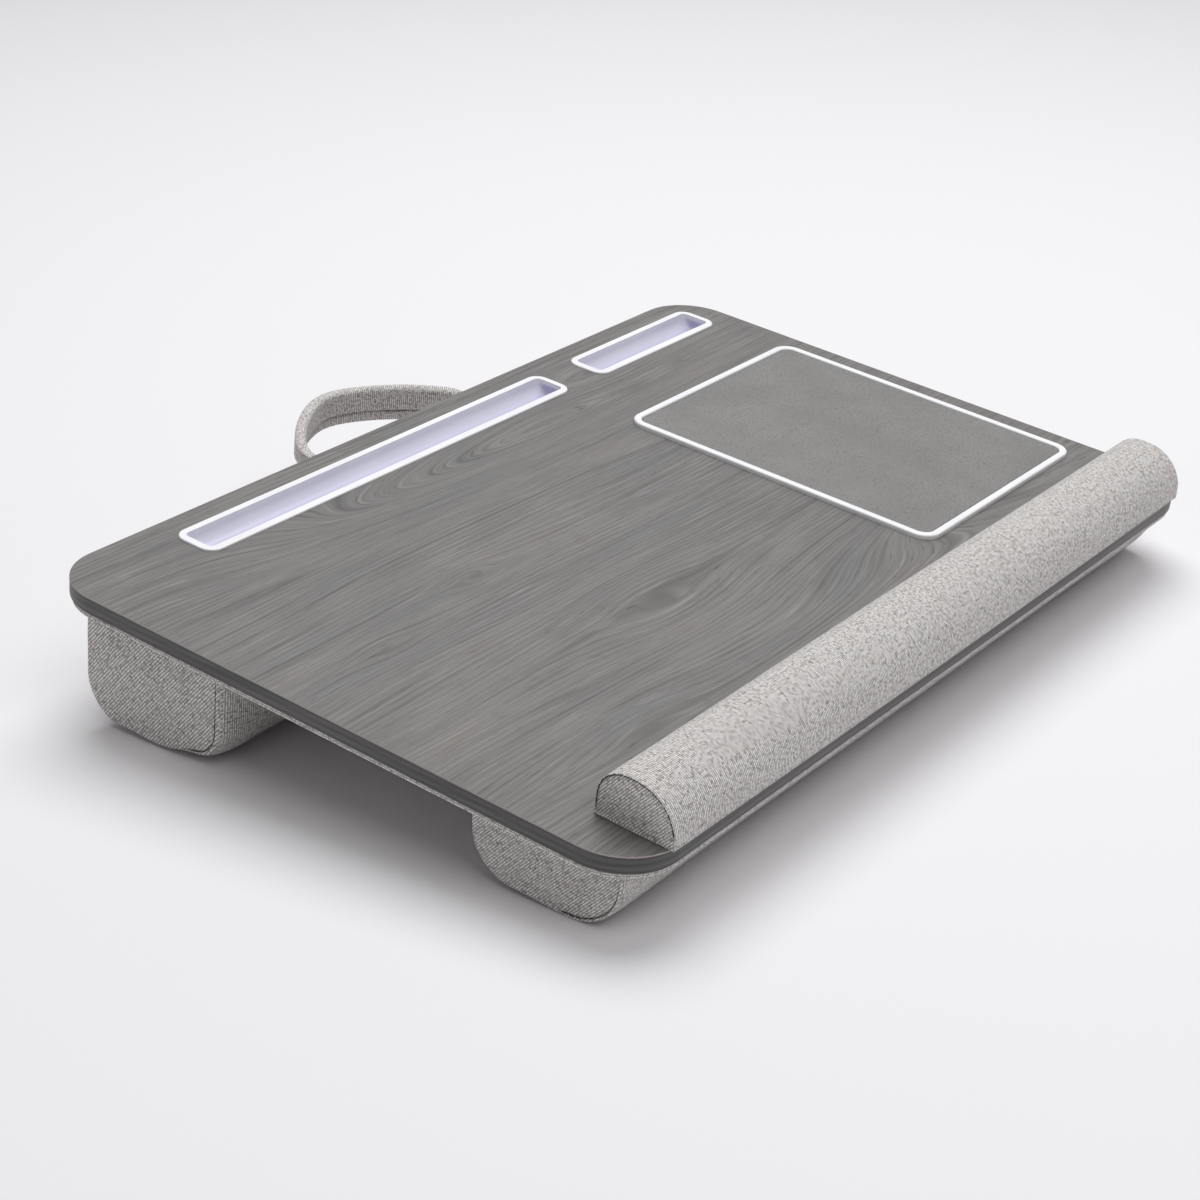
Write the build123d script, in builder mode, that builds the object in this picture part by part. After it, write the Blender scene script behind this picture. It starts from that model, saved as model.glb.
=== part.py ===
from build123d import *
import os
from math import cos, exp, pi, radians, sin, tan

# A lap desk: a wood-grain board with two slot trays, a mouse pad and a padded wrist rest.
# Two soft cushions under it hold the board at a slope, and a cloth strap behind it carries it.
# Lengths are in millimetres. The origin is the middle of the footprint, on the surface that
# the cushions rest on. X runs to the user's right, Y away from the user and Z up.

# Board: a fibreboard core with a laminate sheet on top and a band round its rim
board_width = 600.0
board_depth = 400.0
board_thickness = 10.0
board_corner = 35.0
laminate_thickness = 0.8
band_thickness = 1.0
band_round = 0.7
glue_gap = 0.05
front_height = 49.0
tilt_degrees = 6.0

# Slot trays, set into the board near its back edge
slot_back = 15.7
slot_width = 30.6
slot_corner = 9.0
tablet_slot_inset = 82.0
slot_gap = 31.8
phone_slot_length = 134.2
phone_slot_inset = 20.0
flange_width = 4.8
flange_height = 1.2
flange_round = 0.9
tray_wall = 1.1
tray_depth = 10.0
trough_round = 8.5
trough_end_round = 3.2
tray_fit = 0.4

# Mouse pad: a frame sunk into the board, with a foam sheet and a skin inside
pad_width = 183.4
pad_inset = 17.2
pad_back = 100.1
pad_front_gap = 30.4
pad_corner = 12.0
pad_rim_width = 5.0
pad_rim_height = 3.0
pad_rim_round = 1.3
pad_lap = 2.2
pad_sink = 2.0
pad_floor = 1.0
pad_fit = 0.3
pad_foam_thickness = 2.2
pad_skin_thickness = 1.0
pad_skin_round = 0.6

# Base panel under the board, wrapped in cloth
panel_side_inset = 3.5
panel_end_inset = 2.5
panel_thickness = 3.2
panel_corner = 33.0
cloth_thickness = 0.8
cloth_round = 0.6

# Soft parts: sewn cloth sleeves with flat end panels, over a filling
sleeve_thickness = 1.2
soft_gap = 0.3
seam_draw = 2.6
seam_run = 5.0
crown = 1.6
end_bulge = 3.6
end_draw = 9.0
least_round = 2.0
rest_flat = 0.5

# Wrist rest on the front edge
wrist_end_inset = 25.5
wrist_overhang = 1.9
wrist_width = 47.4
wrist_height = 28.8
wrist_back_round = 17.0
wrist_front_round = 25.5

# Rear cushion: its underside slopes up towards the user
rear_end_inset = 12.5
rear_back = 22.8
rear_width = 105.0
rear_back_round = 30.0
rear_flat_width = 57.0
rear_slope_degrees = 22.5
rear_slope_round = 60.0
rear_front_round = 14.0

# Front cushion
front_end_inset = 14.0
front_inset = 16.9
front_width = 91.7
front_back_round = 27.0
front_front_round = 34.0

# Carrying handle: a padded strap in an arch behind the back edge
handle_span = 160.0
handle_lean = 6.0
handle_reach = 71.0
handle_top = 10.0
handle_band = 21.0
handle_thickness = 7.0
handle_round = 3.0
neck_band = 15.0
neck_thickness = 6.0
neck_round = 2.4
hem_swell = 0.4
hinge_back = 11.0
hinge_drop = 26.0
handle_sleeve_thickness = 1.0
handle_tab_length = 34.0
handle_tab_corner = 3.0
handle_steps = 18
handle_end_steps = 2

# Where a soft part's sections stand: near its seam in shares of the seam's run, and then in
# shares of half its length. Its end panels bulge out in steps of a quarter turn.
seam_shares = [0, 0.5, 1.2, 2.4, 4.5]
length_shares = [0.2, 0.45, 0.7, 1]
bulge_shares = [0, 0.4, 0.75, 1]

# Places that follow from the board's size
phone_slot_middle = board_width / 2 - phone_slot_inset - phone_slot_length / 2
tablet_slot_length = board_width - tablet_slot_inset - slot_gap - phone_slot_length - phone_slot_inset
tablet_slot_middle = tablet_slot_inset + tablet_slot_length / 2 - board_width / 2
wrist_front = board_depth + wrist_overhang
wrist_length = board_width - 2 * wrist_end_inset
pad_depth = wrist_front - wrist_width - pad_front_gap - pad_back
rear_length = board_width - 2 * rear_end_inset
front_length = board_width - 2 * front_end_inset
front_back = board_depth - front_inset - front_width

# The board's own plane: its origin is the middle of the back top edge
slope_cos = cos(radians(tilt_degrees))
slope_sin = sin(radians(tilt_degrees))
back_height = front_height + board_depth * slope_sin
rear_reach = handle_reach * slope_cos + (handle_top + handle_band) * slope_sin
front_reach = (wrist_front + crown) * slope_cos
board = Plane(
    origin=(0, (front_reach - rear_reach) / 2, back_height),
    x_dir=(1, 0, 0),
    z_dir=(0, -slope_sin, slope_cos),
)
board_normal = Axis(board.origin, board.z_dir)

board_middle = -board_depth / 2
slot_middle = -slot_back - slot_width / 2
pad_middle_x = board_width / 2 - pad_inset - pad_width / 2
pad_middle_y = -pad_back - pad_depth / 2
panel_bottom = -board_thickness - panel_thickness
cushion_top = panel_bottom - cloth_thickness - soft_gap
slots = [
    ("tablet_tray", tablet_slot_middle, tablet_slot_length),
    ("phone_tray", phone_slot_middle, phone_slot_length),
]


def on_board(x, y, height):
    """A plane parallel to the board, with its origin at a place on it."""
    place = board.from_local_coords((x, y, height))
    return Plane(origin=place, x_dir=board.x_dir, z_dir=board.z_dir)


def across(x):
    """The plane of a section: its x runs to the back, and its y along the board's normal."""
    place = board.from_local_coords((x, 0, 0))
    return Plane(origin=place, x_dir=board.y_dir, z_dir=board.x_dir)


def trough(middle_x, length, wall):
    """The round-floored hollow of a slot tray, grown by a wall all round."""
    half_width = slot_width / 2 - flange_width + wall
    half_length = length / 2 - flange_width + wall
    floor = flange_height - tray_depth - wall
    with BuildPart() as hollow:
        with BuildSketch(across(middle_x - half_length)):
            with BuildLine():
                run = FilletPolyline(
                    (slot_middle + half_width, flange_height),
                    (slot_middle + half_width, floor),
                    (slot_middle - half_width, floor),
                    (slot_middle - half_width, flange_height),
                    radius=trough_round + wall,
                )
                Line(run @ 1, run @ 0)
            make_face()
        extrude(amount=2 * half_length)
        ends = hollow.faces().group_by(Axis.X)
        rims = ends[0].edges() + ends[-1].edges()
        fillet(rims.group_by(board_normal)[:-1], trough_end_round + wall)
    return hollow.part


def slot_cuts():
    """The outlines of the two slots, on the top of the board."""
    inset = flange_width - tray_wall - tray_fit
    with BuildSketch(on_board(0, slot_middle, 0)) as cuts:
        for _, middle_x, length in slots:
            with Locations((middle_x, 0)):
                RectangleRounded(
                    length - 2 * inset,
                    slot_width - 2 * inset,
                    trough_end_round + tray_wall + tray_fit,
                )
    return cuts.sketch


def pad_outline(height, inset):
    """The mouse pad's outline at a height over the board, drawn in by an inset."""
    with BuildSketch(on_board(pad_middle_x, pad_middle_y, height)) as outline:
        RectangleRounded(pad_width - 2 * inset, pad_depth - 2 * inset, pad_corner - inset)
    return outline.sketch


def board_outline(height, side_inset, end_inset, corner):
    """The board's outline at a height, drawn in at its sides and at its two ends."""
    with BuildSketch(on_board(0, board_middle, height)) as outline:
        RectangleRounded(board_width - 2 * side_inset, board_depth - 2 * end_inset, corner)
    return outline.sketch


def outline_across(x, corners, rounds):
    """A closed section of a soft part at x, with the inner corners of its run rounded."""
    with BuildSketch(across(x)) as outline:
        with BuildLine():
            run = FilletPolyline(corners, radius=rounds)
            Line(run @ 1, run @ 0)
        make_face()
    return outline.sketch


def wrist_section(x, swell, draw, wall):
    """The wrist rest's section: upright behind, broadly rounded over its front."""
    grow = swell - draw - wall
    back = -wrist_front + wrist_width + grow
    front = -wrist_front - grow
    corners = [
        (back, soft_gap + wall),
        (back, wrist_height + grow),
        (front, wrist_height + grow),
        (front, soft_gap + wall),
    ]
    return outline_across(x, corners, [wrist_back_round + grow, wrist_front_round + grow])


def rear_section(x, swell, draw, wall):
    """The rear cushion's section: flat behind, with an underside that slopes up in front."""
    grow = swell - draw - wall
    back = -rear_back - draw - wall
    front = -rear_back - rear_width - grow
    bottom = rear_bottom - grow
    slope_start = -rear_back - rear_flat_width
    slope_end = bottom + (slope_start - front) * tan(radians(rear_slope_degrees))
    corners = [
        (back, cushion_top - wall),
        (back, bottom),
        (slope_start, bottom),
        (front, slope_end),
        (front, cushion_top - wall),
    ]
    rounds = [rear_back_round, rear_slope_round, rear_front_round]
    return outline_across(x, corners, [max(r + grow, least_round) for r in rounds])


def front_section(x, swell, draw, wall):
    """The front cushion's section, a deep half round."""
    grow = swell - draw - wall
    back = -front_back + grow
    front = -front_back - front_width - grow
    corners = [
        (back, cushion_top - wall),
        (back, front_bottom - grow),
        (front, front_bottom - grow),
        (front, cushion_top - wall),
    ]
    return outline_across(x, corners, [front_back_round + grow, front_front_round + grow])


def lowest(round_middle, radius):
    """How deep a section goes for its round to reach the resting surface, crown and flat in."""
    down = back_height + rest_flat - crown + round_middle * slope_sin - radius
    return -down / slope_cos - radius


def soft_roll(section, length, wall, gap):
    """A roll along X, swollen in its middle and drawn in at its two end seams."""
    half = length / 2
    near = [gap + share * seam_run for share in seam_shares]
    depths = near + [share * half for share in length_shares]
    places = [-half + depth for depth in depths] + [half - depth for depth in reversed(depths[:-1])]
    outlines = []
    for x in places:
        depth = half - abs(x)
        swell = crown * sin(pi / 2 * depth / half)
        outlines.append(section(x, swell, seam_draw * exp(-depth / seam_run), wall))
    return loft(outlines, ruled=True)


def end_panel(section, length, side):
    """The cloth panel that closes a roll's end, bulging out from its seam."""
    outlines = []
    for share in bulge_shares:
        out = end_bulge * sin(pi / 2 * share)
        draw = end_draw * (1 - cos(pi / 2 * share))
        outlines.append(section(side * (length / 2 + out), 0, seam_draw + draw, 0))
    return loft(outlines, ruled=True)


def strap_section(turn, wall):
    """The handle's section at a turn along its arch, narrow and low at its two necks."""
    half_span = handle_span / 2
    reach = hinge_back + handle_reach - handle_thickness / 2
    share = sin(turn) ** 2 * (3 - 2 * sin(turn))
    middle = hinge_drop + (handle_top + handle_band / 2 - hinge_drop) * share
    band = neck_band + (handle_band - neck_band) * share
    thickness = neck_thickness + (handle_thickness - neck_thickness) * share
    corner = neck_round + (handle_round - neck_round) * share
    x = handle_lean * sin(turn) - half_span * cos(turn)
    place = board.from_local_coords((x, reach * sin(turn) - hinge_back, -middle))
    run = handle_lean * cos(turn) + half_span * sin(turn)
    along = board.x_dir * run + board.y_dir * (reach * cos(turn))
    with BuildSketch(Plane(origin=place, x_dir=board.z_dir, z_dir=along)) as outline:
        RectangleRounded(band - 2 * wall, thickness - 2 * wall, corner - wall)
    return outline.sketch


os.makedirs("parts", exist_ok=True)

# Board

with BuildPart() as top_laminate:
    extrude(board_outline(0, 0, 0, board_corner), amount=-laminate_thickness)
    extrude(slot_cuts(), amount=-board_thickness, mode=Mode.SUBTRACT)
    extrude(pad_outline(0, pad_lap - pad_fit), amount=-pad_sink, mode=Mode.SUBTRACT)
top_laminate.part.label = "top_laminate"
export_step(top_laminate.part, "parts/top_laminate.step")

with BuildPart() as board_core:
    core_inset = band_thickness + glue_gap
    core = board_outline(-laminate_thickness, core_inset, core_inset, board_corner - core_inset)
    extrude(core, amount=laminate_thickness - board_thickness)
    extrude(slot_cuts(), amount=-board_thickness, mode=Mode.SUBTRACT)
    extrude(pad_outline(0, pad_lap - pad_fit), amount=-pad_sink, mode=Mode.SUBTRACT)
board_core.part.label = "board_core"
export_step(board_core.part, "parts/board_core.step")

with BuildPart() as edge_band:
    band_height = board_thickness - laminate_thickness
    extrude(board_outline(-laminate_thickness, 0, 0, board_corner), amount=-band_height)
    fillet(edge_band.edges().group_by(board_normal)[0], band_round)
    inner = board_outline(
        -laminate_thickness, band_thickness, band_thickness, board_corner - band_thickness
    )
    extrude(inner, amount=-band_height, mode=Mode.SUBTRACT)
edge_band.part.label = "edge_band"
export_step(edge_band.part, "parts/edge_band.step")

# Slot trays: a rounded flange on the laminate round a trough with a broadly rounded floor

for name, middle_x, length in slots:
    with BuildPart() as tray:
        with BuildSketch(on_board(middle_x, slot_middle, 0)):
            RectangleRounded(length, slot_width, slot_corner)
        extrude(amount=flange_height)
        fillet(tray.edges().group_by(board_normal)[-1], flange_round)
        add(trough(middle_x, length, tray_wall))
        add(trough(middle_x, length, 0), mode=Mode.SUBTRACT)
    tray.part.label = name
    export_step(tray.part, f"parts/{name}.step")

# Mouse pad

with BuildPart() as pad_frame:
    extrude(pad_outline(0, 0), amount=pad_rim_height)
    extrude(pad_outline(0, pad_lap), amount=-pad_sink)
    hollow = pad_sink - pad_floor + pad_rim_height
    extrude(pad_outline(pad_rim_height, pad_rim_width), amount=-hollow, mode=Mode.SUBTRACT)
    fillet(pad_frame.edges().group_by(board_normal)[-1], pad_rim_round)
pad_frame.part.label = "pad_frame"
export_step(pad_frame.part, "parts/pad_frame.step")

pad_seat = pad_floor - pad_sink
with BuildPart() as pad_foam:
    extrude(pad_outline(pad_seat, pad_rim_width + pad_fit), amount=pad_foam_thickness)
pad_foam.part.label = "pad_foam"
export_step(pad_foam.part, "parts/pad_foam.step")

with BuildPart() as pad_skin:
    skin = pad_outline(pad_seat + pad_foam_thickness, pad_rim_width + pad_fit)
    extrude(skin, amount=pad_skin_thickness)
    fillet(pad_skin.edges().group_by(board_normal)[-1], pad_skin_round)
pad_skin.part.label = "pad_skin"
export_step(pad_skin.part, "parts/pad_skin.step")

# Base panel and the cloth wrapped round it

wrap = cloth_thickness + glue_gap
with BuildPart() as base_panel:
    sheet = board_outline(
        -board_thickness, panel_side_inset + wrap, panel_end_inset + wrap, panel_corner - wrap
    )
    extrude(sheet, amount=-panel_thickness)
base_panel.part.label = "base_panel"
export_step(base_panel.part, "parts/base_panel.step")

with BuildPart() as panel_cloth:
    outer = board_outline(-board_thickness, panel_side_inset, panel_end_inset, panel_corner)
    extrude(outer, amount=-panel_thickness - cloth_thickness)
    fillet(panel_cloth.edges().group_by(board_normal)[0], cloth_round)
    inner = board_outline(
        -board_thickness,
        panel_side_inset + cloth_thickness,
        panel_end_inset + cloth_thickness,
        panel_corner - cloth_thickness,
    )
    extrude(inner, amount=-panel_thickness, mode=Mode.SUBTRACT)
panel_cloth.part.label = "panel_cloth"
export_step(panel_cloth.part, "parts/panel_cloth.step")

# Wrist rest and cushions: each is a cloth sleeve, two end panels and a filling

rear_turn = radians(rear_slope_degrees / 2)
rear_bottom = lowest(
    -rear_back - rear_flat_width + rear_slope_round * tan(rear_turn), rear_slope_round
)
front_bottom = lowest(-front_back - front_width + front_front_round, front_front_round)
rolls = [
    ("wrist_rest", "foam", wrist_section, wrist_length),
    ("rear_cushion", "fill", rear_section, rear_length),
    ("front_cushion", "fill", front_section, front_length),
]

for name, filling, section, length in rolls:
    with BuildPart() as cavity:
        soft_roll(section, length, sleeve_thickness, 0)
    with BuildPart() as sleeve:
        soft_roll(section, length, 0, 0)
        add(cavity.part, mode=Mode.SUBTRACT)
        split(bisect_by=Plane.XY)
    sleeve.part.label = f"{name}_sleeve"
    export_step(sleeve.part, f"parts/{name}_sleeve.step")

    with BuildPart() as stuffing:
        soft_roll(section, length, sleeve_thickness + soft_gap, soft_gap)
    stuffing.part.label = f"{name}_{filling}"
    export_step(stuffing.part, f"parts/{name}_{filling}.step")

    for side, hand in ((-1, "left"), (1, "right")):
        with BuildPart() as panel:
            end_panel(section, length, side)
            split(bisect_by=Plane.XY)
        panel.part.label = f"{name}_end_{hand}"
        export_step(panel.part, f"parts/{name}_end_{hand}.step")

# Carrying handle: two tabs sewn to the rear cushion, and the strap that swings between them

turns = [pi * step / handle_steps for step in range(handle_steps + 1)]
filled_turns = turns[handle_end_steps:-handle_end_steps]
hem_radius = neck_band / 2 + hem_swell
hem_thickness = neck_thickness + 2 * hem_swell

with BuildPart() as handle_cavity:
    loft([strap_section(turn, handle_sleeve_thickness) for turn in filled_turns], ruled=True)

with BuildPart() as handle_sleeve:
    loft([strap_section(turn, 0) for turn in turns], ruled=True)
    for side in (-1, 1):
        with BuildSketch(across(side * handle_span / 2 - hem_thickness / 2)):
            with Locations((-hinge_back, -hinge_drop)):
                Circle(hem_radius)
        extrude(amount=hem_thickness)
    add(handle_cavity.part, mode=Mode.SUBTRACT)
handle_sleeve.part.label = "handle_sleeve"
export_step(handle_sleeve.part, "parts/handle_sleeve.step")

with BuildPart() as handle_padding:
    wall = handle_sleeve_thickness + soft_gap
    loft([strap_section(turn, wall) for turn in filled_turns], ruled=True)
handle_padding.part.label = "handle_padding"
export_step(handle_padding.part, "parts/handle_padding.step")

tab_thickness = rear_back - hinge_back - hem_radius - 2 * soft_gap
for side, hand in ((-1, "left"), (1, "right")):
    with BuildPart() as tab:
        place = board.from_local_coords((side * handle_span / 2, -rear_back + soft_gap, -hinge_drop))
        with BuildSketch(Plane(origin=place, x_dir=board.x_dir, z_dir=board.y_dir)):
            RectangleRounded(handle_tab_length, neck_band, handle_tab_corner)
        extrude(amount=tab_thickness)
    tab.part.label = f"handle_tab_{hand}"
    export_step(tab.part, f"parts/handle_tab_{hand}.step")
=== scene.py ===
import bpy
import bmesh
import math
from mathutils import Matrix, Vector
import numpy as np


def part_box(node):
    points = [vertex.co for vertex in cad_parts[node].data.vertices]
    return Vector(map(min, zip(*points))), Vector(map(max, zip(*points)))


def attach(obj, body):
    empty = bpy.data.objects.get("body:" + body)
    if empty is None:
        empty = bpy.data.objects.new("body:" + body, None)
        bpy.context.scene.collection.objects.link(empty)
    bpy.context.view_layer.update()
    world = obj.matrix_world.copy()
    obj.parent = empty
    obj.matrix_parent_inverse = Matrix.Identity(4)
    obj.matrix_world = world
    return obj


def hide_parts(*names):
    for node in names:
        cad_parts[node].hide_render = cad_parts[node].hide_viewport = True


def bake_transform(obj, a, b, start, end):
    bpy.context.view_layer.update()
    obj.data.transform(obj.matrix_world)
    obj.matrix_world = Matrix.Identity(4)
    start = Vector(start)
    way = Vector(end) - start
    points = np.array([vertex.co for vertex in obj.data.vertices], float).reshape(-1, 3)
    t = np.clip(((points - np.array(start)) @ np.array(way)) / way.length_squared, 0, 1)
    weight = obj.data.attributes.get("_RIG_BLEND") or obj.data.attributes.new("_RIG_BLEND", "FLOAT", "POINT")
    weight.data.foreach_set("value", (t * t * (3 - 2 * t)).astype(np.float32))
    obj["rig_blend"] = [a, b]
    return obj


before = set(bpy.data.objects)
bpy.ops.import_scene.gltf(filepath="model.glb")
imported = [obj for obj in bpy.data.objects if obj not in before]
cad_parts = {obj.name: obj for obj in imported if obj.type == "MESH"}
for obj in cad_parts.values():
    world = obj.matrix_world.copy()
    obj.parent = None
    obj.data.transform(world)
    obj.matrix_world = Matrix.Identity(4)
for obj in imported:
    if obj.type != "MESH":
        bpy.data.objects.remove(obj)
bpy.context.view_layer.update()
scene = bpy.context.scene
print("frame loaded")

# The board's own space: millimetres, x to the user's right, y to the back, z up from its top.
# Its origin is the middle of the back top edge, which the laminate's box gives.
tilt = math.radians(6.0)
laminateThick = 0.0008
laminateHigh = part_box("top_laminate")[1]
boardBack = Vector((0, laminateHigh.y - laminateThick * math.sin(tilt), laminateHigh.z))
onBoard = Matrix.Translation(boardBack) @ Matrix.Rotation(tilt, 4, "X") @ Matrix.Scale(0.001, 4)
boardNormal = (0, -math.sin(tilt), math.cos(tilt))
same = 0.01                 # mm within which two places count as one


# sRGB hex to the linear values that a shader socket takes
def linear(hexText):
    channels = [int(hexText[i:i + 2], 16) / 255 for i in (0, 2, 4)]
    return [c / 12.92 if c <= 0.04045 else ((c + 0.055) / 1.055) ** 2.4 for c in channels] + [1.0]


def newMaterial(name):
    material = bpy.data.materials.new(name)
    material.use_nodes = True
    material.node_tree.nodes.clear()
    return material


# Adds one node with its properties, its sockets by name or in order (a value, or a node or an
# output to link) and the stops of a colour ramp
def addNode(material, kind, settings=None, sockets=None, stops=None):
    tree = material.node_tree
    node = tree.nodes.new("ShaderNode" + kind)
    for key, value in (settings or {}).items():
        setattr(node, key, value)
    pairs = sockets.items() if isinstance(sockets, dict) else enumerate(sockets or [])
    for key, value in pairs:
        source = value.outputs[0] if isinstance(value, bpy.types.Node) else value
        if isinstance(source, bpy.types.NodeSocket):
            tree.links.new(source, node.inputs[key])
        else:
            node.inputs[key].default_value = source
    if stops:
        ramp = node.color_ramp
        while len(ramp.elements) < len(stops):
            ramp.elements.new(0.5)
        for element, (place, hexText) in zip(ramp.elements, stops):
            element.position = place
            element.color = linear(hexText)
    return node


# What a maths node does with its inputs, and how a mix node darkens
times = {"operation": "MULTIPLY"}
timesPlus = {"operation": "MULTIPLY_ADD"}
plus = {"operation": "ADD"}
minus = {"operation": "SUBTRACT"}
power = {"operation": "EXPONENT"}
floorOf = {"operation": "FLOOR"}
fractionOf = {"operation": "FRACT"}
sineOf = {"operation": "SINE"}
sizeOf = {"operation": "ABSOLUTE"}
larger = {"operation": "MAXIMUM"}
isMore = {"operation": "GREATER_THAN"}
dotOf = {"operation": "DOT_PRODUCT"}
smoothly = {"interpolation_type": "SMOOTHSTEP"}
darken = {"blend_type": "MULTIPLY"}


# How far a point is above the board's top, in metres
def heightOverBoard(material):
    place = addNode(material, "TexCoord").outputs["Object"]
    fromBack = addNode(material, "VectorMath", minus, [place, tuple(boardBack)])
    return addNode(material, "VectorMath", dotOf, [fromBack, boardNormal]).outputs["Value"]


# Printed melamine paper on fibreboard, pressed with a faint pore relief: a matt grey-brown wood
# print whose grain runs along the board, with knots that it flows round, an arched figure, fine
# close lines, a few long dark ones and short dark pores. Places and sizes are in board millimetres.
laminateLook = {
    "lineEvery": 3.7,
    "longLineEvery": 15.0,
    "wander": 38.0,         # how far the slow wander pushes the grain aside
    "wanderSize": (420.0, 95.0, 500.0),
    "fibreWide": 0.9,       # drawn coarser than real, so that it shows
    "poreWide": 0.8,
    "hairSize": (48.0, 1.2),
    "tintSize": (150.0, 24.0),
    "fadeSize": (110.0, 20.0),
    "eyeSharp": 22.0,       # how much faster a knot's dark eye fades than its pull on the grain
    "eyeShare": 0.6,
    "knots": [(-72, -250, 60, 24, 0.97), (-131, -163, 24, 10, 0.95), (-226, -182, 22, 9, 0.95),
              (150, -70, 70, 18, 0.8), (-190, -330, 60, 20, 0.85)],
    "arches": [(-290, -70, 320, 24, 64), (-60, -305, 300, 30, -52)],
    "dark": "4E4B4A",
    "mid": "676563",
    "light": "767472",
    "warm": "736A67",
    "cool": "67686B",
    "eye": "474442",
    "hair": "979491",
    # the cut edges: their own paler colour, with a painted highlight of the rim mixed in
    "edge": "A99F9E",
}


# The grain parts round each knot, whose eye is darker
def partAtKnots(m, look, board, y, grain):
    eyes = 0.0
    for knotX, knotY, long, wide, depth in look["knots"]:
        near = addNode(m, "Mapping", {}, {"Vector": board, "Scale": (1 / long, 1 / wide, 0),
                                          "Location": (-knotX / long, -knotY / wide, 0)})
        far = addNode(m, "VectorMath", dotOf, [near, near]).outputs["Value"]
        hold = addNode(m, "Math", power, [addNode(m, "Math", times, [far, -1.0])])
        core = addNode(m, "Math", power, [addNode(m, "Math", times, [far, -look["eyeSharp"]])])
        eyes = addNode(m, "Math", larger, [core, eyes])
        off = addNode(m, "Math", minus, [y, float(knotY)])
        aside = addNode(m, "Math", times, [off, hold])
        grain = addNode(m, "Math", timesPlus, [aside, -depth, grain])
    return grain, eyes


# An arch is a long ridge in the grain, so that its lines turn back at one end
def turnAtArches(m, look, x, y, grain):
    for archX, archY, long, wide, height in look["arches"]:
        offset = addNode(m, "Math", timesPlus, [y, 1 / wide, -archY / wide])
        square = addNode(m, "Math", times, [offset, offset])
        ridge = addNode(m, "Math", power, [addNode(m, "Math", times, [square, -1.0])])
        rising = addNode(m, "MapRange", smoothly, {
            "Value": x, "From Min": float(archX), "From Max": float(archX + long)})
        rise = addNode(m, "Math", times, [ridge, rising])
        grain = addNode(m, "Math", timesPlus, [rise, float(height), grain])
    return grain


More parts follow.
